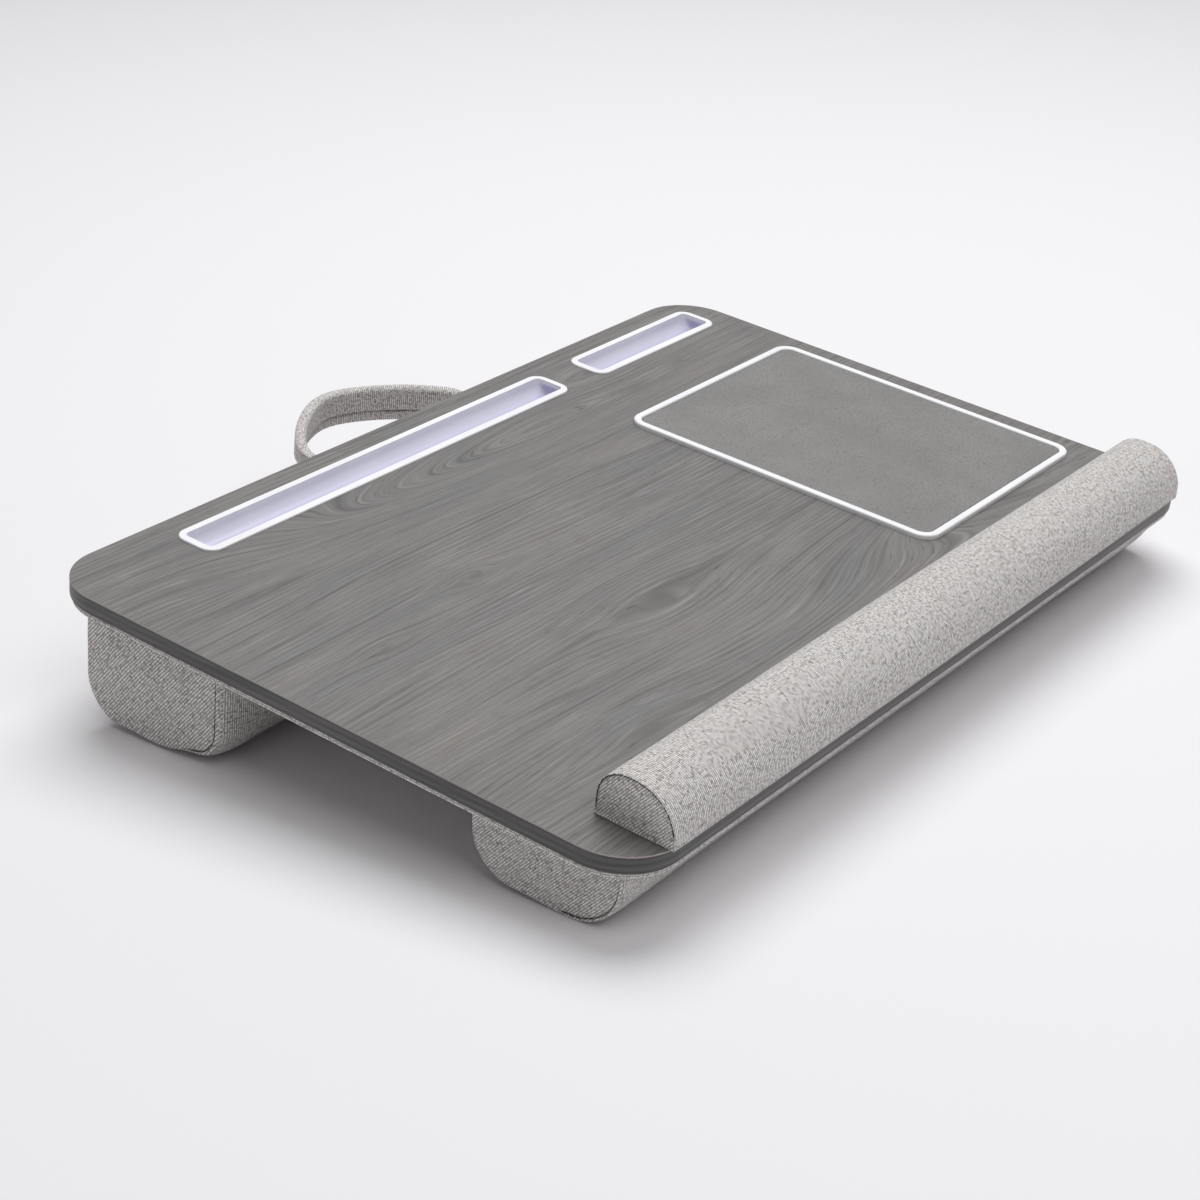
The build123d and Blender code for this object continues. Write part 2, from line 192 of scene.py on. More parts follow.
def makeLaminate(look):
    m = newMaterial("melamineWoodPrint")
    place = addNode(m, "TexCoord").outputs["Object"]
    toBoard = (1000, 1000 / math.cos(tilt), 1000)
    board = addNode(m, "Mapping", {}, {
        "Vector": place, "Scale": toBoard, "Location": (0, -toBoard[1] * boardBack.y, 0)})
    split = addNode(m, "SeparateXYZ", {}, [board])
    x, y = split.outputs["X"], split.outputs["Y"]
    slow = addNode(m, "Mapping", {}, {
        "Vector": board, "Scale": [1 / size for size in look["wanderSize"]]})
    wander = addNode(m, "TexNoise", {}, {"Vector": slow, "Scale": 1.0, "Detail": 2.0, "Roughness": 0.4})
    grain = addNode(m, "Math", timesPlus, [wander.outputs["Fac"], look["wander"], y])
    grain, eyes = partAtKnots(m, look, board, y, grain)
    grain = turnAtArches(m, look, x, y, grain)
    flow = addNode(m, "CombineXYZ", {}, {"X": x, "Y": grain})
    fine = addNode(m, "Mapping", {}, {"Vector": flow, "Scale": (0.009, 1 / look["fibreWide"], 1)})
    fibre = addNode(m, "TexNoise", {}, {"Vector": fine, "Scale": 1.0, "Detail": 3.0, "Roughness": 0.6})
    # Close fine lines, strong in some places and weak in others
    wobble = addNode(m, "Math", timesPlus, [fibre.outputs["Fac"], 1.3, grain])
    spaced = addNode(m, "Math", times, [wobble, 1 / look["lineEvery"]])
    line = addNode(m, "Math", fractionOf, [spaced])
    lines = addNode(m, "ValToRGB", {}, [line], [
        (0.0, look["dark"]), (0.14, look["mid"]), (0.34, look["light"]), (0.55, look["light"]),
        (0.85, look["mid"]), (1.0, look["dark"])])
    tintSpace = addNode(m, "Mapping", {}, {
        "Vector": flow, "Scale": [1 / size for size in look["tintSize"]] + [1]})
    tint = addNode(m, "TexNoise", {}, {"Vector": tintSpace, "Scale": 1.0, "Detail": 3.0})
    tints = addNode(m, "ValToRGB", {}, [tint.outputs["Fac"]], [
        (0.3, look["cool"]), (0.46, look["mid"]), (0.6, look["light"]), (0.72, look["warm"])])
    fadeSpace = addNode(m, "Mapping", {}, {
        "Vector": flow, "Scale": [1 / size for size in look["fadeSize"]] + [3]})
    fade = addNode(m, "TexNoise", {}, {"Vector": fadeSpace, "Scale": 1.0, "Detail": 2.0})
    strong = addNode(m, "MapRange", {}, {
        "Value": fade.outputs["Fac"], "From Min": 0.36, "From Max": 0.62,
        "To Min": 0.08, "To Max": 0.62})
    base = addNode(m, "MixRGB", {}, [strong, tints, lines])
    # A few long dark lines, unevenly spaced
    unevenSpace = addNode(m, "Mapping", {}, {"Vector": flow, "Scale": (0.0015, 0.035, 1)})
    uneven = addNode(m, "TexNoise", {}, {"Vector": unevenSpace, "Scale": 1.0, "Detail": 1.0})
    bent = addNode(m, "Math", timesPlus, [uneven.outputs["Fac"], 40.0, wobble])
    farSpaced = addNode(m, "Math", times, [bent, 1 / look["longLineEvery"]])
    farLine = addNode(m, "Math", fractionOf, [farSpaced])
    longLines = addNode(m, "ValToRGB", {}, [farLine], [
        (0.0, "8C8988"), (0.05, "ABA9A8"), (0.13, "FFFFFF"), (0.9, "FFFFFF"), (1.0, "8C8988")])
    faintLong = addNode(m, "MapRange", {}, {
        "Value": tint.outputs["Fac"], "From Min": 0.62, "From Max": 0.4,
        "To Min": 0.1, "To Max": 0.55})
    lined = addNode(m, "MixRGB", darken, [faintLong, base, longLines])
    streak = addNode(m, "ValToRGB", {}, [fibre.outputs["Fac"]], [
        (0.34, "A4A4A4"), (0.46, "E2E2E2"), (0.6, "FFFFFF")])
    streaked = addNode(m, "MixRGB", darken, [0.55, lined, streak])
    poreSpace = addNode(m, "Mapping", {}, {"Vector": flow, "Scale": (0.07, 1 / look["poreWide"], 1)})
    pore = addNode(m, "TexNoise", {}, {"Vector": poreSpace, "Scale": 1.0, "Detail": 1.0})
    pores = addNode(m, "ValToRGB", {}, [pore.outputs["Fac"]], [(0.27, "9A9694"), (0.36, "FFFFFF")])
    pored = addNode(m, "MixRGB", darken, [0.75, streaked, pores])
    # Fine light strokes between the lines
    hairSpace = addNode(m, "Mapping", {}, {
        "Vector": flow, "Scale": [1 / size for size in look["hairSize"]] + [7]})
    hair = addNode(m, "TexNoise", {}, {"Vector": hairSpace, "Scale": 1.0, "Detail": 1.0})
    hairs = addNode(m, "MapRange", {}, {
        "Value": hair.outputs["Fac"], "From Min": 0.57, "From Max": 0.74, "To Max": 0.42})
    grained = addNode(m, "MixRGB", {}, [hairs, pored, linear(look["hair"])])
    inEye = addNode(m, "Math", times, [eyes, look["eyeShare"]])
    printed = addNode(m, "MixRGB", {}, [inEye, grained, linear(look["eye"])])
    # The print is on top only: the cut edges are paler, partly their own colour and partly a painted
    # highlight along the rim
    normal = addNode(m, "NewGeometry").outputs["True Normal"]
    upright = addNode(m, "VectorMath", dotOf, [normal, boardNormal])
    onTop = addNode(m, "Math", isMore, [upright.outputs["Value"], 0.6])
    colour = addNode(m, "MixRGB", {}, [onTop, linear(look["edge"]), printed])
    relief = addNode(m, "Math", timesPlus, [pore.outputs["Fac"], 0.5, fibre.outputs["Fac"]])
    bump = addNode(m, "Bump", {}, {"Height": relief, "Strength": 0.22, "Distance": 0.0004})
    shine = addNode(m, "Math", timesPlus, [fibre.outputs["Fac"], -0.14, 0.58])
    surface = addNode(m, "BsdfPrincipled", {}, {
        "Base Color": colour, "Roughness": shine, "IOR": 1.5, "Normal": bump})
    addNode(m, "OutputMaterial", {}, {"Surface": surface})
    return m


# Extruded PVC edge band, printed to go with the board: dark, satin, with streaks that run along it.
# Up its height it has painted light and shade, as a rounded edge would catch it: a pale painted highlight
# along its top, a painted shade line just under it, lighter and darker bands below and a darker bottom.
bandLook = {"dark": "5E5C5A", "mid": "737170", "light": "8E8B88", "streakEvery": 1.1, "high": 0.01,
            "edges": [(0.0, "6C6C6C"), (0.16, "9A9A9A"), (0.25, "C4C4C4"), (0.42, "A0A0A0"),
                      (0.5, "868686"), (0.62, "B0B0B0"), (0.78, "A8A8A8"), (0.86, "747474"),
                      (0.94, "E6DED8")]}


def makeBand(look):
    m = newMaterial("pvcEdgeBand")
    place = addNode(m, "TexCoord").outputs["Object"]
    long = addNode(m, "Mapping", {}, {"Vector": place, "Scale": (5, 5, 1000 / look["streakEvery"])})
    streak = addNode(m, "TexNoise", {}, {"Vector": long, "Scale": 1.0, "Detail": 3.0})
    streaks = addNode(m, "ValToRGB", {}, [streak.outputs["Fac"]], [
        (0.3, look["dark"]), (0.5, look["mid"]), (0.75, look["light"])])
    # Painted highlight and shade across the band's height: the pale top stop is a painted highlight, the
    # dark stops are painted shade lines
    level = addNode(m, "MapRange", {}, {
        "Value": heightOverBoard(m), "From Min": -look["high"], "From Max": 0.0})
    edges = addNode(m, "ValToRGB", {}, [level], look["edges"])
    colour = addNode(m, "MixRGB", darken, [1.0, streaks, edges])
    bump = addNode(m, "Bump", {}, {
        "Height": streak.outputs["Fac"], "Strength": 0.1, "Distance": 0.0003})
    surface = addNode(m, "BsdfPrincipled", {}, {
        "Base Color": colour, "Roughness": 0.45, "IOR": 1.53, "Normal": bump})
    addNode(m, "OutputMaterial", {}, {"Surface": surface})
    return m


# Injection-moulded ABS: white rims with a satin face and a very faint moulded grain. The floor of
# a tray's hollow, below the board's top, has painted shade: painted cooler and dimmer, most so towards its
# front.
plasticLook = {"white": "F6F6F8", "shade": "F1F1F5", "trough": "B9B8D2", "grain": 0.35,
               "troughTop": -0.0004, "troughDeep": -0.003, "troughBack": 0.0175, "troughFront": 0.027}


def makePlastic(look):
    m = newMaterial("absMouldedWhite")
    place = addNode(m, "TexCoord").outputs["Object"]
    drift = addNode(m, "TexNoise", {}, {"Vector": place, "Scale": 30.0, "Detail": 2.0})
    rim = addNode(m, "ValToRGB", {}, [drift.outputs["Fac"]], [
        (0.35, look["shade"]), (0.6, look["white"])])
    # Painted shade: below the board's top and towards the front, the white is painted darker and bluer
    deep = addNode(m, "MapRange", smoothly, {
        "Value": heightOverBoard(m), "From Min": look["troughTop"], "From Max": look["troughDeep"]})
    across = addNode(m, "MapRange", {}, {
        "Value": addNode(m, "SeparateXYZ", {}, [place]).outputs["Y"],
        "From Min": boardBack.y - look["troughBack"], "From Max": boardBack.y - look["troughFront"]})
    paintedShadeShare = addNode(m, "Math", times, [deep, across])
    colour = addNode(m, "MixRGB", {}, [paintedShadeShare, rim, linear(look["trough"])])
    grain = addNode(m, "TexNoise", {}, {"Vector": place, "Scale": 1000 / look["grain"], "Detail": 1.0})
    bump = addNode(m, "Bump", {}, {
        "Height": grain.outputs["Fac"], "Strength": 0.08, "Distance": 0.0001})
    shine = addNode(m, "Math", timesPlus, [drift.outputs["Fac"], 0.1, 0.28])
    surface = addNode(m, "BsdfPrincipled", {}, {
        "Base Color": colour, "Roughness": shine, "IOR": 1.54, "Normal": bump})
    addNode(m, "OutputMaterial", {}, {"Surface": surface})
    return m


# Polyurethane skin on knitted backing, calendered with a fine pebble: matt grey leather look
padLook = {"grey": "757473", "pale": "7E7D7C", "valley": "565553", "pebble": 1.3}


def makePadSkin(look):
    m = newMaterial("polyurethanePadSkin")
    place = addNode(m, "TexCoord").outputs["Object"]
    cells = addNode(m, "TexVoronoi", {"feature": "F1"}, {
        "Vector": place, "Scale": 1000 / look["pebble"], "Randomness": 1.0})
    soft = addNode(m, "TexNoise", {}, {"Vector": place, "Scale": 28.0, "Detail": 3.0})
    tone = addNode(m, "ValToRGB", {}, [soft.outputs["Fac"]], [
        (0.35, look["grey"]), (0.65, look["pale"])])
    hollow = addNode(m, "MapRange", smoothly, {
        "Value": cells.outputs["Distance"], "From Min": 0.4, "From Max": 0.95, "To Max": 0.6})
    colour = addNode(m, "MixRGB", {}, [hollow, tone, linear(look["valley"])])
    high = addNode(m, "Math", minus, [1.0, cells.outputs["Distance"]])
    bump = addNode(m, "Bump", {}, {"Height": high, "Strength": 0.5, "Distance": 0.0004})
    surface = addNode(m, "BsdfPrincipled", {}, {
        "Base Color": colour, "Roughness": 0.55, "IOR": 1.5, "Normal": bump})
    addNode(m, "OutputMaterial", {}, {"Surface": surface})
    return m


# Plain-woven polyester linen: grey ribs over a thinner cross thread, each spun from yarn that turns
# lighter, darker or faintly pink along its length, with dark gaps between. The uv map is in
# millimetres.
clothLook = {
    "ribEvery": 1.35,       # drawn a little coarser than real, so that it shows
    "crossEvery": 1.1,
    "shadeLong": 4.0,       # mm along a thread before its shade turns
    "jump": 7.3,            # how far apart in the noise two threads are
    "light": "FFFEFD",
    "mid": "F8F5F3",
    "dark": "BAB6B4",
    "pink": "F6EAE7",
    "gap": "86827F",
    "speck": 1.7,           # mm between the dark specks of the yarn
    "speckShare": 0.75,
    # seam colour, also the painted shadow in the crease under the strap's flap
    "seam": "4A4644",
}


def makeCloth(look):
    m = newMaterial("linenWeavePolyester")
    uv = addNode(m, "UVMap", {"uv_map": "weave"})
    split = addNode(m, "SeparateXYZ", {}, [uv])
    rib = addNode(m, "Math", times, [split.outputs["X"], 1 / look["ribEvery"]])
    cross = addNode(m, "Math", times, [split.outputs["Y"], 1 / look["crossEvery"]])
    ribAt = addNode(m, "Math", floorOf, [rib])
    crossAt = addNode(m, "Math", floorOf, [cross])
    # A rib is high in its middle, and dives under every other cross thread
    ribRound = addNode(m, "Math", sizeOf, [
        addNode(m, "Math", sineOf, [addNode(m, "Math", times, [rib, math.pi])])])
    crossRound = addNode(m, "Math", sizeOf, [
        addNode(m, "Math", sineOf, [addNode(m, "Math", times, [cross, math.pi])])])
    ribPhase = addNode(m, "Math", times, [addNode(m, "Math", plus, [cross, ribAt]), math.pi])
    crossPhase = addNode(m, "Math", times, [addNode(m, "Math", plus, [rib, crossAt]), math.pi])
    ribLift = addNode(m, "Math", timesPlus, [addNode(m, "Math", sineOf, [ribPhase]), 0.2, 0.8])
    crossLift = addNode(m, "Math", timesPlus, [addNode(m, "Math", sineOf, [crossPhase]), -0.3, 0.5])
    ribHigh = addNode(m, "Math", times, [ribRound, ribLift])
    crossHigh = addNode(m, "Math", times, [crossRound, crossLift])
    height = addNode(m, "Math", larger, [ribHigh, crossHigh])
    # The shade of a thread changes slowly along it, and is another one on the next thread
    ribSlow = addNode(m, "Math", times, [split.outputs["Y"], 1 / look["shadeLong"]])
    ribJump = addNode(m, "Math", times, [ribAt, look["jump"]])
    ribSpace = addNode(m, "CombineXYZ", {}, {"X": ribJump, "Y": ribSlow})
    ribShade = addNode(m, "TexNoise", {}, {"Vector": ribSpace, "Scale": 1.0, "Detail": 2.0})
    crossSlow = addNode(m, "Math", times, [split.outputs["X"], 1 / look["shadeLong"]])
    crossJump = addNode(m, "Math", times, [crossAt, look["jump"]])
    crossSpace = addNode(m, "CombineXYZ", {}, {"X": crossSlow, "Y": crossJump, "Z": 5.0})
    crossShade = addNode(m, "TexNoise", {}, {"Vector": crossSpace, "Scale": 1.0, "Detail": 2.0})
    ribOver = addNode(m, "Math", isMore, [ribHigh, crossHigh])
    shade = addNode(m, "MixRGB", {}, [ribOver, crossShade.outputs["Fac"], ribShade.outputs["Fac"]])
    yarn = addNode(m, "ValToRGB", {}, [shade], [
        (0.34, look["dark"]), (0.47, look["mid"]), (0.56, look["light"]), (0.66, look["pink"])])
    # Dark fibres are spun into the yarn, and show as specks over several threads
    specks = addNode(m, "TexNoise", {}, {"Vector": uv, "Scale": 1 / look["speck"], "Detail": 2.0,
                                         "Roughness": 0.7})
    flecks = addNode(m, "ValToRGB", {}, [specks.outputs["Fac"]], [(0.36, "8C8886"), (0.52, "FFFFFF")])
    mixed = addNode(m, "MixRGB", darken, [look["speckShare"], yarn, flecks])
    hollow = addNode(m, "MapRange", smoothly, {"Value": height, "From Min": 0.22, "From Max": 0.8})
    woven = addNode(m, "MixRGB", {}, [hollow, linear(look["gap"]), mixed])
    # Seams are darker where they show; on the strap the same mark paints a shadow line in the crease under
    # its flap
    seamLineAndFlapShade = addNode(m, "Attribute", {"attribute_name": "seamLineAndFlapShade"})
    colour = addNode(m, "MixRGB", {}, [seamLineAndFlapShade.outputs["Fac"], woven, linear(look["seam"])])
    bump = addNode(m, "Bump", {}, {"Height": height, "Strength": 0.5, "Distance": 0.0004})
    surface = addNode(m, "BsdfPrincipled", {}, {
        "Base Color": colour, "Roughness": 0.92, "IOR": 1.45, "Specular IOR Level": 0.25,
        "Sheen Weight": 0.15, "Sheen Roughness": 0.5, "Normal": bump})
    addNode(m, "OutputMaterial", {}, {"Surface": surface})
    return m


# Spun polyester sewing thread, nearly black, with a twist along it
threadLook = {"dark": "272524", "light": "4A4745", "twist": 0.9}


def makeThread(look):
    m = newMaterial("spunSewingThread")
    place = addNode(m, "TexCoord").outputs["Object"]
    twist = addNode(m, "TexNoise", {}, {"Vector": place, "Scale": 1000 / look["twist"], "Detail": 1.0})
    colour = addNode(m, "ValToRGB", {}, [twist.outputs["Fac"]], [
        (0.35, look["dark"]), (0.65, look["light"])])
    surface = addNode(m, "BsdfPrincipled", {}, {"Base Color": colour, "Roughness": 0.8, "IOR": 1.45})
    addNode(m, "OutputMaterial", {}, {"Surface": surface})
    return m


# Raw pressed board: fibre flecks in brown, matt. One for the core and a darker one for the panel.
rawBoardLooks = {
    "pressedFibreboard": {"dark": "8A6F4C", "light": "A98C64", "fleck": 1.5},
    "pressedHardboard": {"dark": "4E3723", "light": "6B4E33", "fleck": 1.0},
}


def makeRawBoard(name, look):
    m = newMaterial(name)
    place = addNode(m, "TexCoord").outputs["Object"]
    flecks = addNode(m, "TexNoise", {}, {"Vector": place, "Scale": 1000 / look["fleck"], "Detail": 4.0})
    colour = addNode(m, "ValToRGB", {}, [flecks.outputs["Fac"]], [
        (0.35, look["dark"]), (0.65, look["light"])])
    bump = addNode(m, "Bump", {}, {
        "Height": flecks.outputs["Fac"], "Strength": 0.2, "Distance": 0.0003})
    surface = addNode(m, "BsdfPrincipled", {}, {
        "Base Color": colour, "Roughness": 0.85, "IOR": 1.5, "Normal": bump})
    addNode(m, "OutputMaterial", {}, {"Surface": surface})
    return m


laminate = makeLaminate(laminateLook)
band = makeBand(bandLook)
plastic = makePlastic(plasticLook)
padSkinMaterial = makePadSkin(padLook)
cloth = makeCloth(clothLook)
thread = makeThread(threadLook)
rawBoards = {name: makeRawBoard(name, look) for name, look in rawBoardLooks.items()}
nodeMaterials = {
    "top_laminate": laminate,
    "edge_band": band,
    "tablet_tray": plastic,
    "phone_tray": plastic,
    "pad_frame": plastic,
    "board_core": rawBoards["pressedFibreboard"],
    "base_panel": rawBoards["pressedHardboard"],
}
for nodeName, material in nodeMaterials.items():
    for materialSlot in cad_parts[nodeName].material_slots:
        materialSlot.material = material
print("materials made")


# Turns a finished bmesh, in board millimetres, into a smooth piece in the CAD's frame
def newPiece(name, bm, material):
    bmesh.ops.transform(bm, matrix=onBoard, verts=bm.verts)
    bmesh.ops.recalc_face_normals(bm, faces=bm.faces)
    for face in bm.faces:
        face.smooth = True
    mesh = bpy.data.meshes.new(name)
    bm.to_mesh(mesh)
    bm.free()
    mesh.materials.append(material)
    piece = bpy.data.objects.new(name, mesh)
    scene.collection.objects.link(piece)
    return piece


# Rounds one corner of a flat outline
def roundCorner(bm, corner, run, segments):
    bmesh.ops.bevel(bm, geom=[corner], offset=run, offset_type="OFFSET", segments=segments,
                    profile=0.5, affect="VERTICES", material=-1)


# Pulls a face out in its place and returns its new points and the new face. The old face goes,
# unless it is to close the other end.
def pullFace(bm, face, keepOld=False):
    made = bmesh.ops.extrude_face_region(bm, geom=[face])["geom"]
    if not keepOld:
        bmesh.ops.delete(bm, geom=[face], context="FACES_ONLY")
    ring = [v for v in made if isinstance(v, bmesh.types.BMVert)]
    return ring, next(f for f in made if isinstance(f, bmesh.types.BMFace))


mostInset = 0.42            # share of a face's least side that its rings may take in


# Grows a face into rings, each so far in from its edge and so far out, and returns their points
def growPanel(bm, face, outward, rings):
    spread = [[v.co[axis] for v in face.verts] for axis in range(3)]
    middle = Vector([(min(side) + max(side)) / 2 for side in spread])
    size = [max(side) - min(side) for side in spread]
    least = min(side for side in size if side > 1)
    before, height, grown = (1, 1, 1), 0.0, []
    for inset, rise in rings:
        if inset > mostInset * least:
            break
        ring, face = pullFace(bm, face)
        share = [1 - 2 * inset / side if side > 1 else 1 for side in size]
        bmesh.ops.scale(bm, vec=[a / b for a, b in zip(share, before)],
                        space=Matrix.Translation(-middle), verts=ring)
        bmesh.ops.translate(bm, vec=outward * (rise - height), verts=ring)
        before, height = share, rise
        grown += ring
    return grown


# Sewn rolls: a cloth sleeve closed by two flat end panels. Corners are y, z and the run of their
# round, from the glued top's back corner, down and round to its front corner. endRib is how much
# coarser the ribs of an end panel are drawn. Behind shownTo a seam is turned in, and hardly shows.
softRolls = {
    "wristRest": {
        "length": 546.0,
        "corners": [(-354.5, 0.3, 0), (-354.5, 29.4, 17.0), (-401.9, 29.4, 25.5), (-401.9, 0.3, 0)],
        "seam": {"frontDraw": 0.0, "backDraw": 0.0, "inset": 0.8, "lip": 0.4, "groove": 0.4,
                 "shownTo": 0.0},
        "endRib": 1.0,
        "replaces": ["wrist_rest_sleeve", "wrist_rest_end_left", "wrist_rest_end_right",
                     "wrist_rest_foam"],
        "fill": 0.9,
    },
    "rearCushion": {
        "length": 571.0,
        "corners": [(-22.8, -14.3, 0), (-22.8, -84.6, 25.0), (-80.0, -83.4, 10.0),
                    (-125.3, -71.5, 15.0), (-125.3, -14.3, 0)],
        "seam": {"frontDraw": 5.0, "backDraw": -2.5, "inset": 2.8, "lip": 1.2, "groove": 0.5,
                 "shownTo": -98.0},
        "endRib": 1.2,
        "replaces": ["rear_cushion_sleeve", "rear_cushion_end_left", "rear_cushion_end_right",
                     "rear_cushion_fill"],
        "fill": 0.85,
    },
    "frontCushion": {
        "length": 572.0,
        "corners": [(-291.4, -14.3, 0), (-291.4, -54.5, 27.0), (-385.6, -55.0, 32.0),
                    (-385.6, -14.3, 0)],
        "seam": {"frontDraw": 0.8, "backDraw": 0.6, "inset": 2.0, "lip": 1.0, "groove": 0.7,
                 "shownTo": -350.0},
        "endRib": 1.0,
        "replaces": ["front_cushion_sleeve", "front_cushion_end_left", "front_cushion_end_right",
                     "front_cushion_fill"],
        "fill": 0.85,
    },
}
sewing = {
    "grid": 6.0,            # mm between the cloth's points
    "crown": 0.9,           # mm that the middle stands proud before it is blown up
    "seamRun": 6.5,         # mm over which a sleeve pulls in towards its end seam
    "seamWide": 1.1,
    "roundStep": 3.0,       # mm of a corner's run to one step of its round
    "leastSteps": 6,
    "leastOut": 0.3,        # share of its normal by which a point must face sideways to move
    "bulge": 1.6,           # mm that an end panel bulges out past its seam
    "bulgeRun": 7.0,
    "bulgeAt": [2.5, 4.5, 7.5, 11.5, 17.0, 25.0],
    "bias": 52.0,           # degrees that the ribs of an end panel climb towards the front
    "seamClear": 3.5,       # mm that a seam keeps off the board
    "turnedIn": 0.7,        # share of its groove that a turned in seam loses
}


# An end panel from its edge inwards: a lip of sleeve, the sewn groove, and the bulge of the cloth
def endRings(seam, sew):
    inset, lip = seam["inset"], seam["lip"]
    rings = [(0.12 * inset, 0.5 * lip), (0.4 * inset, 0.87 * lip), (0.7 * inset, lip),
             (inset - 0.4, lip), (inset, lip - seam["groove"]), (inset + 0.7, lip)]
    for far in sew["bulgeAt"]:
        rings.append((inset + far, lip + sew["bulge"] * (1 - math.exp(-far / sew["bulgeRun"]))))
    return rings


# The rounded outline of a roll, from its first corner round to it, in steps of the grid. Bevels
# and extrusions give their points in another order each run, and the cloth simulation's result
# hangs on the order, so a roll is made ring by ring.
def rollOutline(shape, sew):
    flat = bmesh.new()
    corners = [flat.verts.new((0, y, z)) for y, z, run in shape["corners"]]
    flat.faces.new(corners)
    start = corners[0].co.copy()
    for corner, (y, z, run) in zip(corners, shape["corners"]):
        if run:
            roundCorner(flat, corner, run, max(sew["leastSteps"], round(run / sew["roundStep"])))
    points = [vert.co.copy() for vert in flat.faces[:][0].verts]
    flat.free()
    first = points.index(min(points, key=lambda point: (point - start).length))
    points = points[first:] + points[:first]
    if abs(points[1].z - start.z) < same:
        points = points[:1] + points[:0:-1]
    outline = []
    for point, after in zip(points, points[1:] + points[:1]):
        parts = int((after - point).length / sew["grid"]) + 1
        outline += [point.lerp(after, part / parts) for part in range(parts)]
    return outline


def joinRings(bm, before, after):
    for n in range(len(before)):
        bm.faces.new((before[n - 1], after[n - 1], after[n], before[n]))


# A closed tube with a flat face at each end. Its points get their way round it, and a mark where
# it is glued. Returns its two end rings and faces.
def makeSleeve(bm, outline, half, sew):
    around = bm.verts.layers.float["around"]
    glued = bm.verts.layers.float["glued"]
    parts = round(2 * half / sew["grid"])
    stations = [half * (2 * part / parts - 1) for part in range(parts + 1)]
    for depth in (sew["seamWide"], 3 * sew["seamWide"]):
        stations += [depth - half, half - depth]
    rings = [[bm.verts.new((x, point.y, point.z)) for point in outline] for x in sorted(stations)]
    for ring in rings:
        distance = 0.0
        for vert, point, after in zip(ring, outline, outline[1:] + outline[:1]):
            vert[around] = distance
            vert[glued] = 1.0 if abs(point.z - outline[0].z) < same else 0.0
            distance += (after - point).length
    for before, after in zip(rings, rings[1:]):
        joinRings(bm, before, after)
    ends = (rings[0], rings[-1])
    return ends, [bm.faces.new(ring) for ring in ends]


# The sleeve stands proud in its middle and pulls in towards its two end seams. Where it is
# glued, only its two edges pull in, along the board.
def drawIn(bm, half, seam, sew):
    glued = bm.verts.layers.float["glued"]
    bmesh.ops.recalc_face_normals(bm, faces=bm.faces)
    for vert in bm.verts:
        depth = half - abs(vert.co.x)
        out = Vector((0, vert.normal.y, 0 if vert[glued] > 0.5 else vert.normal.z))
        if out.length > sew["leastOut"]:
            out.normalize()
            draw = (seam["frontDraw"] * (1 - out.y) + seam["backDraw"] * (1 + out.y)) / 2
            grow = sew["crown"] * math.sin(math.pi / 2 * depth / half)
            vert.co += out * (grow - draw * math.exp(-depth / sew["seamRun"]))


# Closes both ends with rings that end in a panel, and marks the groove between: where it is held,
# and where it shows
def sewEnds(bm, ends, top, seam, sew):
    around = bm.verts.layers.float["around"]
    seamLineAndFlapShade = bm.verts.layers.float["seamLineAndFlapShade"]
    seamHeld = bm.verts.layers.float["seamHeld"]
    for side, edge in zip((-1, 1), ends):
        low, high = [Vector([pick(vert.co[axis] for vert in edge) for axis in range(3)])
                     for pick in (min, max)]
        middle, size = (low + high) / 2, high - low
        before = edge
        for inset, rise in endRings(seam, sew):
            if inset > mostInset * min(size.y, size.z):
                break
            share = Vector((1, 1 - 2 * inset / size.y, 1 - 2 * inset / size.z))
            out = Vector((side * rise, 0, 0))
            ring = [bm.verts.new(middle + (vert.co - middle) * share + out) for vert in edge]
            for vert, origin in zip(ring, edge):
                vert[around] = origin[around]
                sewn = abs(vert.co.z - top) > sew["seamClear"] + seam["inset"]
                held = sewn and inset == seam["inset"]
                shown = held and vert.co.y < seam["shownTo"]
                vert[seamHeld] = 1.0 if held else 0.0
                vert[seamLineAndFlapShade] = 1.0 if shown else 0.0
                if held and not shown:
                    vert.co.x += side * sew["turnedIn"] * seam["groove"]
            joinRings(bm, before, ring)
            before = ring
        bm.faces.new(before)


# The ribs of the weave run round the sleeve, and on an end panel they climb towards the front
def weaveRoll(bm, endRib, sew):
    around = bm.verts.layers.float["around"]
    weave = bm.loops.layers.uv["weave"]
    turn = math.radians(sew["bias"])
    bm.normal_update()
    for face in bm.faces:
        onEnd = abs(face.normal.x) > 0.5
        for corner in face.loops:
            place = corner.vert.co
            alongRib = (place.z * math.sin(turn) - place.y * math.cos(turn)) / endRib
            acrossRib = (place.z * math.cos(turn) + place.y * math.sin(turn)) / endRib
            corner[weave].uv = (acrossRib, alongRib) if onEnd else (place.x, corner.vert[around])


def sewnRoll(name, shape, sew):
    bm = bmesh.new()
    for layer in ("around", "seamLineAndFlapShade", "seamHeld", "glued"):
        bm.verts.layers.float.new(layer)
    bm.loops.layers.uv.new("weave")
    half = shape["length"] / 2
    ends, caps = makeSleeve(bm, rollOutline(shape, sew), half, sew)
    drawIn(bm, half, shape["seam"], sew)
    bmesh.ops.delete(bm, geom=caps, context="FACES_ONLY")
    sewEnds(bm, ends, shape["corners"][0][1], shape["seam"], sew)
    weaveRoll(bm, shape["endRib"], sew)
    piece = newPiece(name, bm, cloth)
    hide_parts(*shape["replaces"])
    return piece


blowing = {"pressure": 4.0, "mass": 0.3, "quality": 4, "tension": 18, "compression": 12, "bending": 1.5,
           "frames": 20, "mostMove": 1.6}


